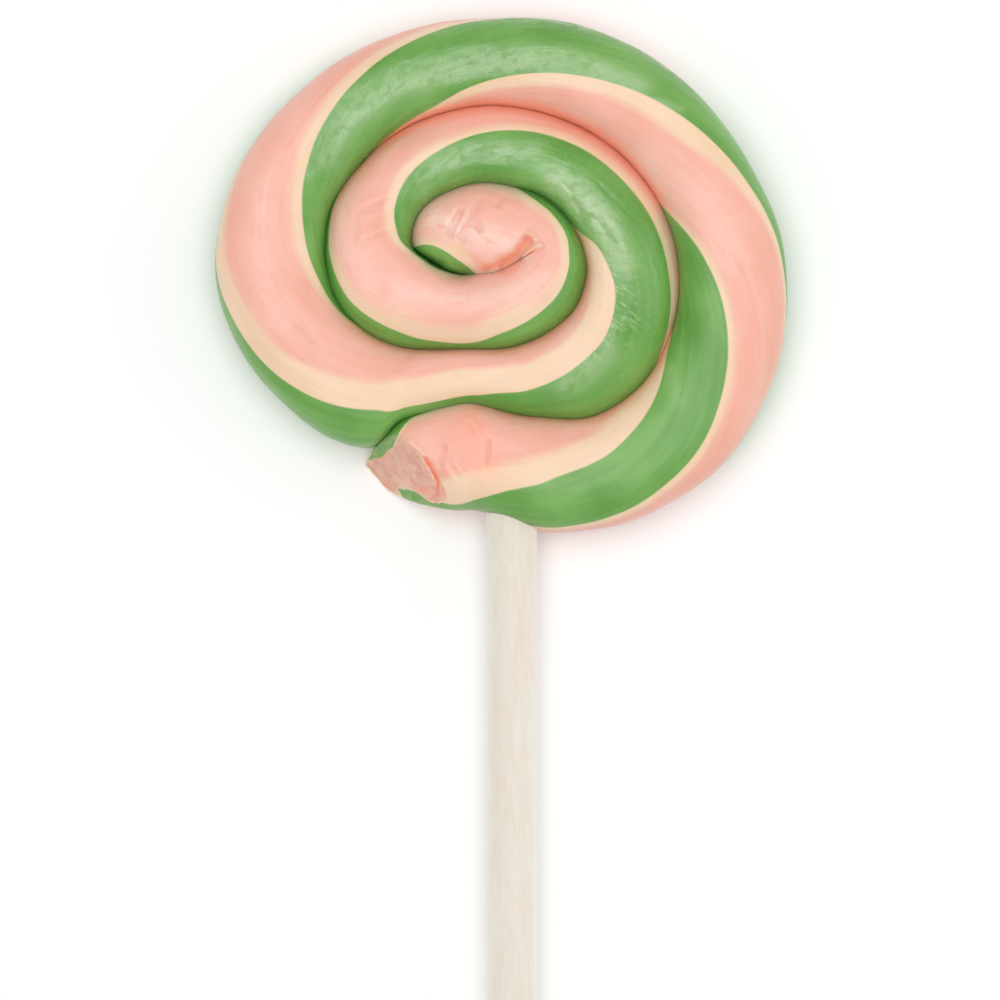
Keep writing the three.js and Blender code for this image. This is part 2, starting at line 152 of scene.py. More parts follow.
# Ridges and dents in the upper side, from (x, y) to (x, y), with a half width and a height.
FOLDS = (
    # the eye's wrinkles
    (-4.0, 12.7, -5.0, 10.3, 0.45, -0.28), (-6.3, 11.4, -7.6, 8.5, 0.45, -0.28),
    (-4.9, 10.4, -6.0, 9.2, 0.4, -0.24), (-1.0, 13.1, -1.7, 12.3, 0.4, -0.2),
    (-4.3, 9.7, -4.0, 9.2, 0.5, -0.22), (-6.3, 8.5, -6.1, 8.0, 0.5, -0.22),
    (-7.0, 11.6, -8.3, 9.9, 0.7, 0.14), (-5.5, 11.1, -6.6, 9.0, 0.7, 0.14),
    (-4.4, 9.1, -3.9, 8.0, 0.6, 0.16), (-2.6, 11.6, -3.3, 10.2, 0.6, 0.1),
    # the pit beside the tip
    (-3.1, 4.3, -1.2, 4.9, 0.5, -0.6), (-1.2, 4.9, 0.7, 6.1, 0.7, -1.0),
    (0.7, 6.1, 1.9, 7.7, 0.7, -1.0), (2.2, 8.6, 2.9, 7.9, 0.4, 0.3),
    (1.6, 5.9, 3.4, 7.2, 0.45, 0.8), (-10.0, 5.2, -8.8, 4.9, 0.6, -0.9),
    # on the first turn
    (-18.6, 8.1, -16.8, 8.9, 0.4, 0.22), (-16.8, 8.9, -15.2, 9.4, 0.4, 0.22),
    (-18.4, 12.3, -15.6, 13.2, 0.35, 0.15), (-18.4, 11.5, -15.7, 12.2, 0.3, -0.14),
    (-18.6, 10.5, -15.8, 11.2, 0.35, 0.13), (-19.0, 6.0, -16.8, 6.8, 0.35, 0.15),
    (-18.4, 4.3, -16.5, 5.1, 0.35, 0.13),
    # a press mark and scratches on the left
    (-26.2, -3.2, -24.7, -6.2, 0.9, -0.22), (-26.0, -6.9, -24.6, -7.0, 0.35, -0.25),
    (-13.7, 29.6, -12.5, 29.0, 0.25, -0.12), (-13.4, 28.9, -12.4, 28.2, 0.25, -0.12),
    # creases and steps in the green on the right
    (10.5, 14.9, 13.4, 12.0, 0.25, -0.16), (13.4, 12.0, 14.9, 10.2, 0.25, -0.16),
    (10.7, 10.9, 13.6, 6.5, 0.25, -0.14), (12.5, 4.1, 16.5, 4.8, 0.3, 0.15),
    (7.8, 14.3, 10.3, 14.3, 0.45, -0.2), (7.5, 12.9, 8.4, 11.7, 0.45, -0.22),
    (8.4, 11.7, 8.9, 10.0, 0.45, -0.22), (6.2, 14.7, 7.7, 12.9, 0.4, 0.15),
    # lips and a slit beside the snipped end
    (-12.6, -16.9, -11.4, -17.9, 0.4, 0.4), (-11.4, -17.9, -10.9, -18.5, 0.4, 0.4),
    (-11.0, -19.4, -9.9, -21.1, 0.4, 0.4), (-9.9, -21.1, -9.6, -22.2, 0.4, 0.4),
    (-10.6, -18.9, -9.5, -20.7, 0.22, -0.5), (-9.5, -20.7, -9.0, -21.8, 0.22, -0.5),
    (-9.0, -21.8, -9.1, -23.3, 0.22, -0.5), (-13.4, -21.8, -10.4, -23.7, 0.45, 0.35),
    (-12.1, -17.6, -11.8, -18.1, 0.3, 0.25), (-11.4, -19.4, -11.2, -19.9, 0.3, 0.22),
    (-12.0, -18.6, -11.7, -19.0, 0.3, 0.2),
    # the tail's folds
    (-5.5, -13.9, -4.5, -14.8, 0.45, 0.25), (-4.5, -14.8, -4.1, -15.8, 0.45, 0.25),
    (-2.8, -16.8, -3.0, -19.4, 0.28, -0.22), (-8.2, -17.5, -8.6, -19.7, 0.28, -0.22),
    (-6.8, -19.6, -6.0, -20.8, 0.45, 0.22), (-8.0, -20.1, -7.0, -21.3, 0.45, 0.22),
)
FOLD_LEVELS = (4.0, 6.0)  # the folds fade in between these heights
HIGHEST = 12.6  # and stand no higher than this
# Orange marks, laid out like the folds, with a strength in place of the height: painted shade in
# the pit and in the slit, and an orange tint along the snipped end's rim and on the tail.
ORANGE_SHADE_AND_STAINS = (
    # the pit beside the tip: painted shade, deep orange in the dent
    (-3.4, 4.4, -1.2, 4.9, 0.5, 0.6), (-1.2, 4.9, 0.7, 6.1, 0.8, 0.8),
    (0.7, 6.1, 1.9, 7.8, 0.8, 0.8), (-0.8, 4.8, 2.8, 6.8, 0.4, 0.5),
    # the slit, with painted shade in it; the rim of the snipped end, and the tail, tinted orange
    (-10.6, -18.9, -9.5, -20.7, 0.25, 0.7), (-9.5, -20.7, -9.0, -21.8, 0.25, 0.7),
    (-9.0, -21.8, -9.1, -23.3, 0.25, 0.7), (-18.1, -19.5, -17.2, -20.3, 0.35, 0.6),
    (-17.2, -20.3, -16.1, -21.7, 0.35, 0.6), (-16.1, -21.7, -15.2, -22.7, 0.35, 0.6),
    (-11.4, -22.7, -9.9, -23.1, 0.5, 0.4), (-5.0, -15.5, -3.2, -19.5, 2.4, 0.3),
)
# Painted highlights: pale patches on the crests, laid out in the same way.
PAINTED_HIGHLIGHTS = (
    # on the green
    (5.4, 15.2, 8.7, 12.8, 1.9, 1.0), (8.7, 12.8, 11.7, 9.6, 2.0, 1.0),
    (11.7, 9.6, 13.7, 5.0, 1.7, 0.9), (14.6, 5.3, 15.8, 0.6, 1.2, 0.15),
    (-8.8, 16.6, -5.1, 18.6, 1.2, 0.6), (-5.1, 18.6, 2.9, 19.1, 1.2, 0.6),
    (-22.4, 17.9, -19.7, 22.6, 1.6, 0.6), (-19.7, 22.6, -13.7, 26.5, 1.6, 0.6),
    (-13.7, 26.5, -3.9, 29.7, 1.6, 0.6), (-3.9, 29.7, 6.0, 30.2, 1.6, 0.6),
    (6.0, 30.2, 15.8, 27.2, 1.6, 0.6), (15.0, 26.1, 20.8, 24.0, 0.5, 0.5),
    (6.7, -10.2, 9.7, -8.3, 1.4, 0.6), (9.7, -8.3, 12.1, -5.8, 1.4, 0.6),
    (-11.4, 13.6, -8.8, 16.6, 1.0, 0.4), (19.6, -8.0, 20.6, -12.0, 0.8, 0.3),
    # on the pink
    (-8.8, 10.2, -3.9, 8.0, 1.9, 0.75), (-3.9, 8.0, 1.0, 7.3, 1.9, 0.75),
    (-13.7, 1.1, -5.1, 0.6, 1.9, 0.5), (-5.1, 0.6, 4.1, 2.5, 1.9, 0.5),
    (17.1, 17.3, 23.2, 12.3, 2.6, 0.35), (23.2, 12.3, 27.6, 5.5, 2.6, 0.35),
    (-30.8, 14.2, -32.2, 8.0, 2.6, 0.25), (-32.2, 8.0, -29.8, -1.8, 2.6, 0.25),
    (-19.9, 14.2, -20.5, 8.0, 1.6, 0.3), (-20.5, 8.0, -17.2, 1.8, 1.6, 0.3),
)
# Painted shade in the creases: how orange pink and cream are at a seam, how far from it, and
# between which coil angles it starts.
SEAM_PAINTED_SHADE, SEAM_REACH, TINTED_FROM = 0.75, 1.5, (150.0, 230.0)
FAR_FROM_SEAM = 9.0  # stands for the distance where a turn has no neighbour
# Rows of [coil angle, how softly the cream runs into the pink].
SOFT = [[-180, 3], [-80, 3], [-60, 2], [30, 2], [60, 4], [125, 4], [150, 2.2], [850, 2.2]]
# Rows of [coil angle, how glossy the green is].
GLOSS = [
    [-180, 0.5], [-90, 0.7], [-20, 0.9], [60, 0.6], [200, 0.6], [330, 0.9], [350, 1], [400, 1],
    [425, 0.5], [500, 0.3], [560, 0.5], [610, 0.8], [650, 0.7], [700, 0.2], [770, 0.1],
    [790, 0.15], [850, 0.3],
]
# Rows of [coil angle, how strongly the green is crazed beside its inner edge].
CRAZED = [[-180, 0], [345, 0], [358, 0.6], [368, 1], [395, 1], [408, 0.5], [425, 0], [850, 0]]
CRAZED_REACH = (5.5, 1.0)  # distances from that edge at which the crazing ends, and is full

# ---- the meshes ----------------------------------------------------------------------------------
RINGS, AROUND, CAP_LOOPS = 855, 110, 40
CAP_CROWDING = 1.4  # how much closer to the rim the snipped end's loops lie
TOP_SHARE, TOP_FROM, TOP_TO = 0.76, -8.0, 188.0  # most of the mesh lines lie on the upper side
# Rows of [coil angle, how much closer the rings stand].
RING_DENSITY = [[-180, 3], [-60, 2], [20, 1], [740, 1], [785, 2], [832, 2.4]]
FINE_STEPS = 8000  # of the rope's middle line, along which the rings are spaced
SNIP_SEARCH, HALVINGS = (790.0, 880.0), 24  # coil angles round the snipped end, and how it is found
CANDY_SHARP, STICK_SHARP = 60.0, 40.0  # degrees from which an edge isn't shaded smooth

STICK_AROUND, STICK_RINGS = 96, 150
STICK_EDGE, STICK_BEND = 0.3, (0.08, 0.07)  # rounding of its ends, and a point on the lower one's
STICK_INSET, STICK_START = 0.02, 1.0  # of the upper end's face, and of the first straight ring
# The paper's layers at the cut end: how many, how thick, and how far every other one stands back.
PAPER_LAYERS, PAPER_LAYER, PAPER_STEP = 9, 0.27, 0.05
STICK_WAVE = (2.0, 0.2, 0.004)  # pace round the stick, pace along it, share of its radius

# ---- colours and surfaces ------------------------------------------------------------------------
# Noise in the pulled sugar: how fine round the rope, how fine along it, detail, roughness.
GRAIN = {
    "streak": (9.0, 0.05, 4.0, 0.6),
    "fine": (26.0, 0.12, 3.0, 0.6),
    "patch": (1.2, 0.12, 2.0, 0.5),
    "ribs": (2.2, 1.1, 3.0, 0.6),
    "scuffs": (5.0, 0.55, 4.0, 0.65),
    "ticks": (3.0, 2.4, 4.0, 0.7),
}
# Noise fixed in space: scale, detail, roughness.
BLOTCHES, PITS = (700.0, 4.0, 0.6), (1500.0, 2.0, 0.6)
# Where a noise starts to show and where it is full.
SHADE_RANGE, BLOTCH_RANGE, TICK_RANGE = (0.3, 0.7), (0.35, 0.65), (0.5, 0.62)
PAINTED_HIGHLIGHT_RANGE, GLOSS_RANGE = (0.22, 0.55), (0.38, 0.58)
EDGE_WOBBLE = 0.44  # how far the streaks move the stripes' edges
GREEN_BLUR, CREAM_BLUR = 0.14, 0.42  # half the width over which those edges run out
PATCH_SHADE, STREAK_SHADE = 0.6, 0.4
# Heights of the bumps, then the strength and the depth in metres of the bumps and of the pits.
RIB_BUMP, FINE_BUMP, STREAK_BUMP, TICK_BUMP = 0.8, 0.5, 0.5, 2.0
SUGAR_BUMP, PIT_BUMP, PAPER_BUMP = (0.5, 0.00014), (0.3, 0.00006), (0.5, 0.00008)
# The sugar's roughness, and what the fine grain, the green's gloss and the cut add to it.
SATIN, GRAIN_ROUGH, GLOSS_ROUGH, CUT_MATT = 0.38, 0.16, -0.32, 0.25
# Noise in the stick's paper: scale across it, scale along it, detail, roughness.
PAPER_FIBRE, PAPER_PATCH = (2600.0, 300.0, 4.0, 0.65), (700.0, 90.0, 3.0, 0.6)
FIBRE_SHADE, PAPER_SHADE, PAPER_RANGE = 0.6, 0.4, (0.35, 0.65)

# ---- the stage, in metres ------------------------------------------------------------------------
FLOOR_HALF, FLOOR_GREY = 3.0, 0.97
# Lamps: place, size, power.
SOFTBOX, FILL = ((-0.04, 0.06, 0.9), 0.8, 4.7), ((0.6, 0.0, 0.25), 0.5, 0.5)
WORLD_STRENGTH = 0.55

# ---- camera: straight down on the disc, framed as 1000 x 1000 ------------------------------------
FRAME_WIDTH = 123.3  # across the picture, at the level where the rope is widest
FRAME_LEVEL = 5.0
FRAME_CENTRE = (-1.418, -24.044)  # on the disc's plan
LENS, SENSOR = 600.0, 36.0
CLIP = (0.01, 10.0)


def between(rows, angle, column=1):
    """Smooth value between rows of [angle, value, ...]: cubic Hermite, flat at both ends."""
    table = np.array(rows, dtype=float)
    x, y = table[:, 0], table[:, column]
    slope = np.zeros_like(y)
    slope[1:-1] = (y[2:] - y[:-2]) / (x[2:] - x[:-2])
    a = np.clip(angle, x[0], x[-1])
    i = np.clip(np.searchsorted(x, a, side="right") - 1, 0, len(x) - 2)
    span, rise = x[i + 1] - x[i], y[i + 1] - y[i]
    u = (a - x[i]) / span
    p, q = slope[i] * span - rise, rise - slope[i + 1] * span
    return y[i] + rise * u + u * (1 - u) * (p * (1 - u) + q * u)


def ramp(value, low, high):
    """Smooth 0 to 1 as a value passes from low to high."""
    u = np.clip((value - low) / (high - low), 0, 1)
    return u * u * (3 - 2 * u)


def wrapped(turn):
    """A turn brought between -180 and 180 degrees."""
    return (turn + 180.0) % 360.0 - 180.0


def seam(angle):
    """Distance of the seam outside the turn at an angle, from the crease."""
    total = np.zeros_like(np.asarray(angle, dtype=float))
    for turns in range(SEAM_TURNS):
        a = angle - 360.0 * turns
        total = total + np.where(a > WIDTH[0][0], between(WIDTH, a), 0.0)
    return total


def rope_point(angle, turn, keep=1.0):
    """Points of the rope: a turn round the section at a coil angle, at a share of the way out.

    Their distances from the middle of the section come second.
    """
    inner, outer = seam(angle - 360.0), seam(angle)
    inner = inner - between(PRESSED_INNER, angle)
    inner = inner - CREASE_PRESSED * (1 - ramp(np.abs(angle), *CREASE_OPENS))
    outer = outer + between(PRESSED_OUTER, angle)
    half = np.maximum((outer - inner) / 2, LEAST_HALF_WIDTH)
    middle = (inner + outer) / 2
    height = between(HEIGHT, angle)
    level = height * WIDEST_LEVEL
    c, s = np.cos(np.radians(turn)), np.sin(np.radians(turn))
    power = np.where(s > 0, ROUND_TOP, SQUARE_BASE)
    reach = (np.abs(c) ** power + np.abs(s) ** power) ** (-1 / power)
    rise = np.where(s > 0, height - level, level * BASE_OVERSHOOT)
    share = reach * c
    leaning = np.clip(share + between(CREST_LEAN, angle) * (1 - share**2), -1, 1)
    top = (1 - np.abs(leaning) ** FLAT_TOP) ** (1 / FLAT_TOP)
    across = half * share
    up = np.maximum(rise * np.where(s > 0, top, reach * s), -level)
    radius = np.hypot(across, up)
    distance = middle + across * keep
    ray = np.radians(-angle)
    x = (CREASE_HALF + distance) * np.cos(ray)
    y = distance * np.sin(ray)
    droop = DROOP_DEPTH * np.exp(-np.abs(x / DROOP_X) ** DROOP_POWER - (y / DROOP_Y) ** 2)
    z = np.maximum(level + up * keep, 0.0)
    return np.stack([CREASE_X + x, CREASE_Y + y - droop, z], axis=-1), radius


def face_normal(heading, lean):
    """The way a face looks, from a heading and a lean upwards."""
    heading, lean = math.radians(heading), math.radians(lean)
    return np.array(
        [math.cos(heading) * math.cos(lean), math.sin(heading) * math.cos(lean), math.sin(lean)]
    )


def beyond_snip(points):
    """How far points lie beyond the snipped end, in mm; negative inside the candy."""
    return np.max([(points - point) @ face_normal(*way) for point, *way in SNIP_FACES], axis=0)


def snip_angle(turn, keep, back):
    """Coil angles at which lines of rope points come to a distance in front of the snipped end."""
    low = np.full_like(turn, SNIP_SEARCH[0])
    high = np.full_like(turn, SNIP_SEARCH[1])
    for _ in range(HALVINGS):
        middle = (low + high) / 2
        before = beyond_snip(rope_point(middle, turn, keep)[0]) < -back
        low, high = np.where(before, middle, low), np.where(before, high, middle)
    return low


def strip_masks(angle, turn, radius):
    """Signed distances in mm, positive inside: of the green strips, and of their cream linings."""
    masks = {}
    for name, strip in STRIPS.items():
        outer, inner = between(strip["edges"], angle, 1), between(strip["edges"], angle, 2)
        for kind, low, high in (
            ("green", outer, inner),
            ("cream", outer - between(strip["outer_margin"], angle),
             inner + between(strip["inner_margin"], angle)),
        ):
            off = wrapped(turn - (low + high) / 2)
            masks[f"{kind}_{name}"] = ((high - low) / 2 - np.abs(off)) * np.pi / 180 * radius
    return masks


def seam_gap(angle, turn):
    """How far points of the upper side lie from the seam beside them, in mm seen from above."""
    half = (seam(angle) - seam(angle - 360.0)) / 2
    c, s = np.abs(np.cos(np.radians(turn))), np.abs(np.sin(np.radians(turn)))
    gap = half * (1 - c * (c**ROUND_TOP + s**ROUND_TOP) ** (-1 / ROUND_TOP))
    outside = (angle > TAIL_ANGLE - 360.0) & (np.cos(np.radians(turn)) > 0)
    return np.where(outside, FAR_FROM_SEAM, gap)


def pressed(points, rows):
    """The strongest of some soft ridges, dents or stains at points."""
    strongest = np.zeros(len(points))
    for x0, y0, x1, y1, width, height in rows:
        way = np.array([x1 - x0, y1 - y0])
        off = points[:, :2] - (x0, y0)
        share = np.clip(off @ way / (way @ way), 0, 1)
        gap = np.linalg.norm(off - share[:, None] * way, axis=1)
        value = height * np.exp(-((gap / width) ** 2))
        strongest = np.where(np.abs(value) > np.abs(strongest), value, strongest)
    return strongest


def twist(angle):
    """How far the strands have twisted round the rope, in degrees."""
    middles = []
    for strip in STRIPS.values():
        outer, inner = between(strip["edges"], angle, 1), between(strip["edges"], angle, 2)
        middles.append((outer + inner) / 2)
    return sum(middles) / len(middles)


# ---- the candy -----------------------------------------------------------------------------------
def even_angles():
    """Coil angles of the rings, spaced along the rope's middle, and how far along it they stand."""
    fine = np.linspace(TIP_ANGLE, TAIL_ANGLE, FINE_STEPS)
    middle = rope_point(fine, np.full_like(fine, 90.0))[0]
    middle[:, 2] = 0
    steps = np.linalg.norm(np.diff(middle, axis=0), axis=1)
    crowded = steps * between(RING_DENSITY, (fine[1:] + fine[:-1]) / 2)
    along, count = [np.concatenate([[0], np.cumsum(each)]) for each in (steps, crowded)]
    rings = np.interp(np.linspace(0, count[-1], RINGS), count, fine)
    return rings, np.interp(rings, fine, along)


def even_turns():
    """Turns round the section, closer together on the upper side."""
    top = round(AROUND * TOP_SHARE)
    upper = np.linspace(TOP_FROM, TOP_TO, top, endpoint=False)
    lower = np.linspace(TOP_TO, TOP_FROM + 360, AROUND - top, endpoint=False)
    return np.concatenate([upper, lower])


def relief(turn, along):
    """Unevenness of the pulled rope, in mm: slow lumps along it."""
    lumps = np.empty(turn.size)
    for n, (t, s) in enumerate(zip(np.radians(turn).ravel(), along.ravel())):
        c, d = math.cos(t), math.sin(t)
        lumps[n] = sum(
            height * noise.noise(Vector((around * c, around * d, s * pace + shift)))
            for around, pace, shift, height in LUMPS
        )
    return lumps.reshape(turn.shape)


def rope_side(turns):
    """The rope's surface from tip to snipped end, ring by ring, and its last ring's lumps."""
    angles, along = even_angles()
    turn = np.tile(turns, (RINGS, 1))
    lean = np.clip((angles - LEAN_ANGLE) / (TAIL_ANGLE - LEAN_ANGLE), 0, 1)[:, None]
    ends = snip_angle(turns, 1.0, between(RIM, turns % 360))[None, :]
    angle = np.where(lean > 0, LEAN_ANGLE + lean * (ends - LEAN_ANGLE), angles[:, None])
    length = np.tile(along[:, None], (1, AROUND))
    radius = rope_point(angle, turn)[1]
    keep = 1 + relief(turn, length) * np.clip(radius / LUMPS_FROM, 0, 1) / radius
    side = {
        "point": rope_point(angle, turn, keep)[0].reshape(-1, 3),
        "angle": angle.ravel(),
        "turn": turn.ravel(),
        "radius": radius.ravel(),
        "depth": np.zeros(turn.size),
        "along": length.ravel(),
    }
    return side, keep[-1]


def rope_end(turns, rim_keep, along):
    """The snipped end with its rounded rim, loop by loop towards its middle."""
    facing = face_normal(*SNIP_FACES[0][1:])
    rim = between(RIM, turns % 360)
    size = rope_point(snip_angle(turns, 1.0, rim), turns)[1]
    loops = []
    for number in range(1, CAP_LOOPS + 1):
        out = 1 - (number / (CAP_LOOPS + 0.5)) ** CAP_CROWDING
        left = np.clip(rim - size * (1 - out), 0, None)
        angle = snip_angle(turns, rim_keep * out, rim - np.sqrt(rim**2 - left**2))
        point, radius = rope_point(angle, turns, rim_keep * out)
        bumps = [
            sum(share * noise.noise(Vector(p) * pace) for pace, share in CUT_BUMPS) for p in point
        ]
        point = point + facing * (CUT_ROUGH * np.array(bumps) * (1 - left / rim))[:, None]
        point[:, 2] = np.maximum(point[:, 2], 0.0)
        loops.append({
            "point": point,
            "angle": angle,
            "turn": turns,
            "radius": radius,
            "depth": size * (1 - out),
            "along": np.full(AROUND, along),
        })
    return {name: np.concatenate([loop[name] for loop in loops]) for name in loops[0]}


def surface_values(data):
    """What the sugar's material reads at every point."""
    angle, turn, depth = data["angle"], data["turn"], data["depth"]
    values = strip_masks(angle, turn, data["radius"])
    rounded = depth / between(RIM, turn % 360)
    on_end = rounded > ON_END
    for name, rows, from_turn in (("a", CUT_GREEN_A, -180), ("b", CUT_GREEN_B, 0)):
        left = between(rows, (turn - from_turn) % 360 + from_turn) - depth
        green, cream = values[f"green_{name}"], values[f"cream_{name}"] / between(SOFT, angle)
        values[f"green_{name}"] = np.where(on_end, np.minimum(green, left), green)
        values[f"cream_{name}"] = np.where(on_end, np.minimum(cream, left + CREAM_LINE), cream)
    values["cut"] = ramp(rounded, *CUT_FADE)
    values["gloss"] = between(GLOSS, angle)
    # painted shade: pink and cream turn orange in the creases beside the seams, and in the pit and
    # the slit
    seam_shade = SEAM_PAINTED_SHADE * ramp(angle, *TINTED_FROM) * ramp(seam_gap(angle, turn), SEAM_REACH, 0.0)
    values["orange_shade_and_stain"] = np.maximum(pressed(data["point"], ORANGE_SHADE_AND_STAINS), seam_shade)
    # painted highlight: pale patches along the crests of the green and the pink
    values["painted_highlight"] = pressed(data["point"], PAINTED_HIGHLIGHTS)
    off_edge = wrapped(between(STRIPS["a"]["edges"], angle, 2) - turn) * np.pi / 180
    values["crazed"] = between(CRAZED, angle) * ramp(off_edge * data["radius"], *CRAZED_REACH)
    return values


def with_ends(values):
    """Values of all points, and then of the two points that close the tail and the tip."""
    return np.concatenate([values, values[-1:], values[:1]]).astype(np.float32)


def store_values(mesh, data):
    """Writes on the mesh what the sugar's material reads, and the way its fibres run."""
    for name, values in surface_values(data).items():
        layer = mesh.attributes.new(name, "FLOAT", "POINT")
        layer.data.foreach_set("value", with_ends(values))
    phase = np.radians(data["turn"] - twist(data["angle"]))
    fibre = np.stack([np.cos(phase), np.sin(phase), data["along"]], axis=-1)
    layer = mesh.attributes.new("fibre", "FLOAT_VECTOR", "POINT")
    layer.data.foreach_set("vector", with_ends(fibre).ravel())


def candy_faces():
    """Quads from ring to ring and loop to loop, and a fan of triangles over each end."""
    rows = RINGS + CAP_LOOPS
    i, j = np.meshgrid(np.arange(rows - 1), np.arange(AROUND), indexing="ij")
    k = (j + 1) % AROUND
    near, far = i * AROUND, (i + 1) * AROUND
    faces = np.stack([near + j, near + k, far + k, far + j], -1).reshape(-1, 4).tolist()
    last, tail, tip = (rows - 1) * AROUND, rows * AROUND, rows * AROUND + 1
    for n in range(AROUND):
        m = (n + 1) % AROUND
        faces.append([last + n, last + m, tail])
        faces.append([m, n, tip])
    return faces


def new_object(name, verts, faces, sharp_from):
    """An object made of points in mm, shaded smooth up to an angle between its faces."""
    mesh = bpy.data.meshes.new(name)
    mesh.from_pydata((verts * MM).tolist(), [], faces)
    mesh.update()
    mesh.shade_smooth()
    mesh.set_sharp_from_angle(angle=math.radians(sharp_from))
    thing = bpy.data.objects.new(name, mesh)
    bpy.context.collection.objects.link(thing)
    return thing


def build_candy():
    """One skin over the whole rope, with its folds, closed at its tip and its tail."""
    turns = even_turns()
    side, rim_keep = rope_side(turns)
    end = rope_end(turns, rim_keep, side["along"][-1])
    data = {name: np.concatenate([side[name], end[name]]) for name in side}
    points = data["point"]
    points[:, 2] += pressed(points, FOLDS) * ramp(points[:, 2], *FOLD_LEVELS)
    points[:, 2] = np.minimum(points[:, 2], HIGHEST)
    verts = np.vstack([points, points[-AROUND:].mean(axis=0), points[:AROUND].mean(axis=0)])
    candy = new_object("candy_swirl", verts, candy_faces(), CANDY_SHARP)
    store_values(candy.data, data)
    return candy


# ---- the stick -----------------------------------------------------------------------------------
def stick_rings(low, high, radius):
    """Rings of (y, radius), from the end inside the candy to the paper's layers at the cut end."""
    flat = radius - STICK_EDGE
    bend_up, bend_in = STICK_BEND
    rings = [(high - STICK_INSET, flat), (high - STICK_EDGE, radius)]
    straight = np.linspace(high - STICK_START, low + STICK_EDGE, STICK_RINGS)
    rings += [(y, radius) for y in straight]
    rings += [(low + bend_up, radius - bend_in), (low, flat)]
    rings += [
        (low + PAPER_STEP * (k % 2), flat - PAPER_LAYER * k) for k in range(1, PAPER_LAYERS + 1)
    ]
    return rings


def build_stick():
    """The rolled paper stick, slightly uneven."""
    low, high = [np.array(corner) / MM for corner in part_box("stick")]
    centre, radius = (low + high) / 2, (high[0] - low[0]) / 2
    rings = stick_rings(low[1], high[1], radius)
    around, along, share = STICK_WAVE
    verts, faces = [], []
    for y, r in rings:
        for k in range(STICK_AROUND):
            a = 2 * math.pi * k / STICK_AROUND
            c, s = math.cos(a), math.sin(a)
            wave = 1 + share * noise.noise(Vector((around * c, around * s, y * along)))
            verts.append((centre[0] + r * wave * c, y, centre[2] + r * wave * s))
    for row in range(len(rings) - 1):
        for k in range(STICK_AROUND):
            m = (k + 1) % STICK_AROUND
            a, b = row * STICK_AROUND, (row + 1) * STICK_AROUND
            faces.append((a + k, a + m, b + m, b + k))
    faces.append(tuple(reversed(range(STICK_AROUND))))
    faces.append(tuple(range(len(verts) - STICK_AROUND, len(verts))))
    return new_object("stick_rolled", np.array(verts), faces, STICK_SHARP)


# ---- materials -----------------------------------------------------------------------------------
class Nodes:
    """Adds nodes to one material's tree; values are numbers, colours or other nodes' outputs."""

    def __init__(self, name):
        self.material = bpy.data.materials.new(name)
        self.material.use_nodes = True
        self.tree = self.material.node_tree
        self.tree.nodes.clear()

    def add(self, kind, inputs, out=0, **settings):
        node = self.tree.nodes.new(kind)
        for name, value in settings.items():
            setattr(node, name, value)
        for key, value in inputs.items():
            if isinstance(value, bpy.types.NodeSocket):
                self.tree.links.new(value, node.inputs[key])
            else:
                node.inputs[key].default_value = value
        return node.outputs[out]

    def math(self, operation, *values):
        return self.add("ShaderNodeMath", dict(enumerate(values)), operation=operation)

    def total(self, start, *terms):
        """A start value, plus every other value times its number."""
        for value, times in terms:
            start = self.math("MULTIPLY_ADD", value, times, start)
        return start

    def attribute(self, name, out="Fac"):
        return self.add("ShaderNodeAttribute", {}, out=out, attribute_name=name)

    def place(self):
        return self.add("ShaderNodeTexCoord", {}, out="Object")

    def step(self, value, low, high):
        """Smooth 0 to 1 as a value passes from low to high."""
        inputs = {"Value": value, "From Min": low, "From Max": high}
        return self.add("ShaderNodeMapRange", inputs, interpolation_type="SMOOTHSTEP")

    def mix(self, share, a, b):
        return self.add("ShaderNodeMix", {0: share, 6: a, 7: b}, out=2, data_type="RGBA")

    def noise(self, vector, scale, detail, rough):
        inputs = {"Vector": vector, "Scale": scale, "Detail": detail, "Roughness": rough}
        return self.add("ShaderNodeTexNoise", inputs)

    def stretched_noise(self, vector, scales, detail, rough):
        stretched = self.add("ShaderNodeMapping", {"Vector": vector, "Scale": scales})
        return self.noise(stretched, 1.0, detail, rough)

    def bump(self, height, strength, distance, **under):
        inputs = {"Height": height, "Strength": strength, "Distance": distance, **under}
        return self.add("ShaderNodeBump", inputs, out="Normal")

    def finish(self, shader):
        """The material, ending in a principled shader with these inputs."""
        surface = self.add("ShaderNodeBsdfPrincipled", shader)
        output = self.tree.nodes.new("ShaderNodeOutputMaterial")
        self.tree.links.new(surface, output.inputs["Surface"])
        return self.material


def srgb(*screen):
    """A colour given as screen values of 0 to 255, none of them near black."""
    return (*[((value / 255 + 0.055) / 1.055) ** 2.4 for value in screen], 1.0)


PINK, PINK_PALE = srgb(236, 173, 152), srgb(242, 189, 173)
CREAM, CREAM_PALE = srgb(235, 206, 173), srgb(241, 214, 187)
GREEN, GREEN_PALE = srgb(98, 157, 64), srgb(127, 180, 92)
CUT_PINK, CUT_PINK_PALE = srgb(226, 168, 146), srgb(238, 190, 172)
CUT_GREEN = srgb(150, 174, 120)
# Orange of the painted shade in the creases, and of the tint on the tail.
ORANGE_SHADE_AND_STAIN = srgb(254, 164, 128)
# Painted highlight colours; the green one also colours the pale ticks of the crazing.
PINK_PAINTED_HIGHLIGHT, GREEN_HIGHLIGHT_AND_CRAZE = srgb(246, 214, 202), srgb(166, 194, 142)
PAPER, PAPER_PALE = srgb(222, 210, 193), srgb(230, 220, 206)


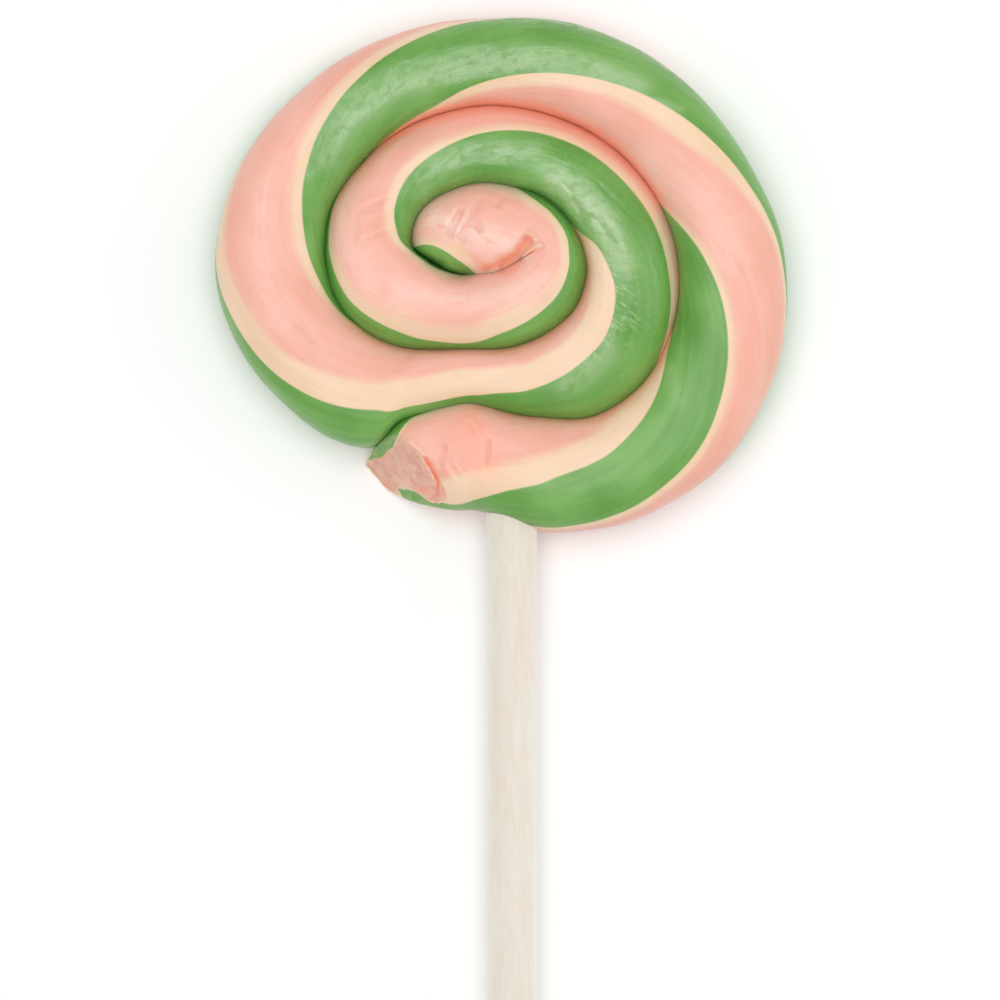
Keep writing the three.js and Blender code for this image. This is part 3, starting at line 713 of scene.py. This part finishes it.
def stripes(n, streak):
    """Where the sugar is green and where it is cream, with edges that follow the streaks."""
    green = n.math("MAXIMUM", n.attribute("green_a"), n.attribute("green_b"))
    cream = n.math("MAXIMUM", n.attribute("cream_a"), n.attribute("cream_b"))
    wobble = n.total(-EDGE_WOBBLE / 2, (streak, EDGE_WOBBLE))
    in_green = n.step(n.math("ADD", green, wobble), -GREEN_BLUR, GREEN_BLUR)
    in_cream = n.step(n.math("ADD", cream, wobble), -CREAM_BLUR, CREAM_BLUR)
    return in_green, in_cream


def sugar_colour(n, grain, place, in_green, in_cream, cut, crazed):
    """Pink, cream and green, with painted highlights, painted orange shade in the creases, stains,
    crazing and blotches on the cut.
    """
    shade = n.total(0.0, (grain["patch"], PATCH_SHADE), (grain["streak"], STREAK_SHADE))
    shade = n.step(shade, *SHADE_RANGE)
    blotch = n.step(n.noise(place, *BLOTCHES), *BLOTCH_RANGE)
    # painted highlight: pale patches where the attribute and the scuffs noise allow
    painted_highlight = n.math("MULTIPLY", n.attribute("painted_highlight"), n.step(grain["scuffs"], *PAINTED_HIGHLIGHT_RANGE))
    pink = n.mix(painted_highlight, n.mix(shade, PINK, PINK_PALE), PINK_PAINTED_HIGHLIGHT)
    pink = n.mix(cut, pink, n.mix(blotch, CUT_PINK, CUT_PINK_PALE))
    colour = n.mix(in_cream, pink, n.mix(shade, CREAM, CREAM_PALE))
    # painted orange shade in the creases, and the orange tint on the tail
    colour = n.mix(n.attribute("orange_shade_and_stain"), colour, ORANGE_SHADE_AND_STAIN)
    green = n.mix(painted_highlight, n.mix(shade, GREEN, GREEN_PALE), GREEN_HIGHLIGHT_AND_CRAZE)
    ticks = n.math("MULTIPLY", crazed, n.step(grain["ticks"], *TICK_RANGE))
    green = n.mix(ticks, green, GREEN_HIGHLIGHT_AND_CRAZE)
    green = n.mix(n.math("MULTIPLY", cut, blotch), green, CUT_GREEN)
    return n.mix(in_green, colour, green)


def sugar_bump(n, grain, place, crazed):
    """Ribs, streaks and fine grain along the fibres, the crazing, and small pits over them."""
    height = n.total(
        0.0,
        (grain["ribs"], RIB_BUMP),
        (grain["fine"], FINE_BUMP),
        (grain["streak"], STREAK_BUMP),
        (n.math("MULTIPLY", crazed, grain["ticks"]), TICK_BUMP),
    )
    return n.bump(n.noise(place, *PITS), *PIT_BUMP, Normal=n.bump(height, *SUGAR_BUMP))


def sugar_roughness(n, grain, in_green, cut):
    """Satin, glossier on some stretches of the green and matt on the cut."""
    gloss = n.math("MULTIPLY", n.attribute("gloss"), n.step(grain["scuffs"], *GLOSS_RANGE))
    gloss = n.math("MULTIPLY", in_green, gloss)
    return n.total(SATIN, (grain["fine"], GRAIN_ROUGH), (gloss, GLOSS_ROUGH), (cut, CUT_MATT))


def sugar_material():
    n = Nodes("pulled_sugar")
    fibre, place, cut = n.attribute("fibre", "Vector"), n.place(), n.attribute("cut")
    grain = {
        name: n.stretched_noise(fibre, (around, around, along), detail, rough)
        for name, (around, along, detail, rough) in GRAIN.items()
    }
    in_green, in_cream = stripes(n, grain["streak"])
    crazed = n.math("MULTIPLY", n.attribute("crazed"), in_green)
    return n.finish({
        "Base Color": sugar_colour(n, grain, place, in_green, in_cream, cut, crazed),
        "Roughness": sugar_roughness(n, grain, in_green, cut),
        "IOR": 1.55,
        "Subsurface Weight": 0.85,
        "Subsurface Radius": (1.0, 0.5, 0.3),
        "Subsurface Scale": 0.003,
        "Normal": sugar_bump(n, grain, place, crazed),
    })


def paper_material():
    n = Nodes("stick_paper")
    place = n.place()
    fibre, patch = [
        n.stretched_noise(place, (across, along, across), detail, rough)
        for across, along, detail, rough in (PAPER_FIBRE, PAPER_PATCH)
    ]
    tone = n.step(n.total(0.0, (patch, PAPER_SHADE), (fibre, FIBRE_SHADE)), *PAPER_RANGE)
    return n.finish({
        "Base Color": n.mix(tone, PAPER, PAPER_PALE),
        "Roughness": 0.6,
        "Specular IOR Level": 0.4,
        "Sheen Weight": 1.0,
        "Sheen Roughness": 0.7,
        "Normal": n.bump(fibre, *PAPER_BUMP),
    })


def floor_material():
    return Nodes("floor_pale").finish({
        "Base Color": (FLOOR_GREY, FLOOR_GREY, FLOOR_GREY, 1),
        "Roughness": 0.9,
        "Specular IOR Level": 0.1,
    })


# ---- the stage -----------------------------------------------------------------------------------
def build_floor():
    mesh = bpy.data.meshes.new("floor")
    corners = [(x * FLOOR_HALF, y * FLOOR_HALF, 0) for x, y in ((-1, -1), (1, -1), (1, 1), (-1, 1))]
    mesh.from_pydata(corners, [], [(0, 1, 2, 3)])
    mesh.materials.append(floor_material())
    floor = bpy.data.objects.new("floor", mesh)
    bpy.context.collection.objects.link(floor)


def area_light(name, place, size, power):
    """A round lamp that looks at the origin and doesn't show itself."""
    data = bpy.data.lights.new(name, "AREA")
    data.shape, data.size, data.energy = "DISK", size, power
    lamp = bpy.data.objects.new(name, data)
    lamp.location = place
    lamp.rotation_euler = (Vector((0, 0, 0)) - Vector(place)).to_track_quat("-Z", "Y").to_euler()
    lamp.visible_camera = False
    bpy.context.collection.objects.link(lamp)


def build_lights():
    area_light("softbox", *SOFTBOX)
    area_light("fill", *FILL)
    world = bpy.data.worlds.new("studio")
    world.use_nodes = True
    world.node_tree.nodes["Background"].inputs[0].default_value = (1, 1, 1, 1)
    world.node_tree.nodes["Background"].inputs[1].default_value = WORLD_STRENGTH
    bpy.context.scene.world = world
    bpy.context.scene.view_settings.view_transform = "Standard"


def build_camera():
    data = bpy.data.cameras.new("camera")
    data.lens, data.sensor_width = LENS, SENSOR
    camera = bpy.data.objects.new("camera", data)
    distance = FRAME_WIDTH * LENS / SENSOR
    camera.location = [v * MM for v in (*FRAME_CENTRE, FRAME_LEVEL + distance)]
    data.clip_start, data.clip_end = CLIP
    bpy.context.collection.objects.link(camera)
    bpy.context.scene.camera = camera


build_camera()
build_lights()
build_floor()

candy = build_candy()
candy.data.materials.append(sugar_material())
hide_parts("candy_core_pink", "candy_lining_cream_a", "candy_strip_green_a",
            "candy_lining_cream_b", "candy_strip_green_b")
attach(candy, "root")

stick = build_stick()
stick.data.materials.append(paper_material())
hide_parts("stick")
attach(stick, "root")
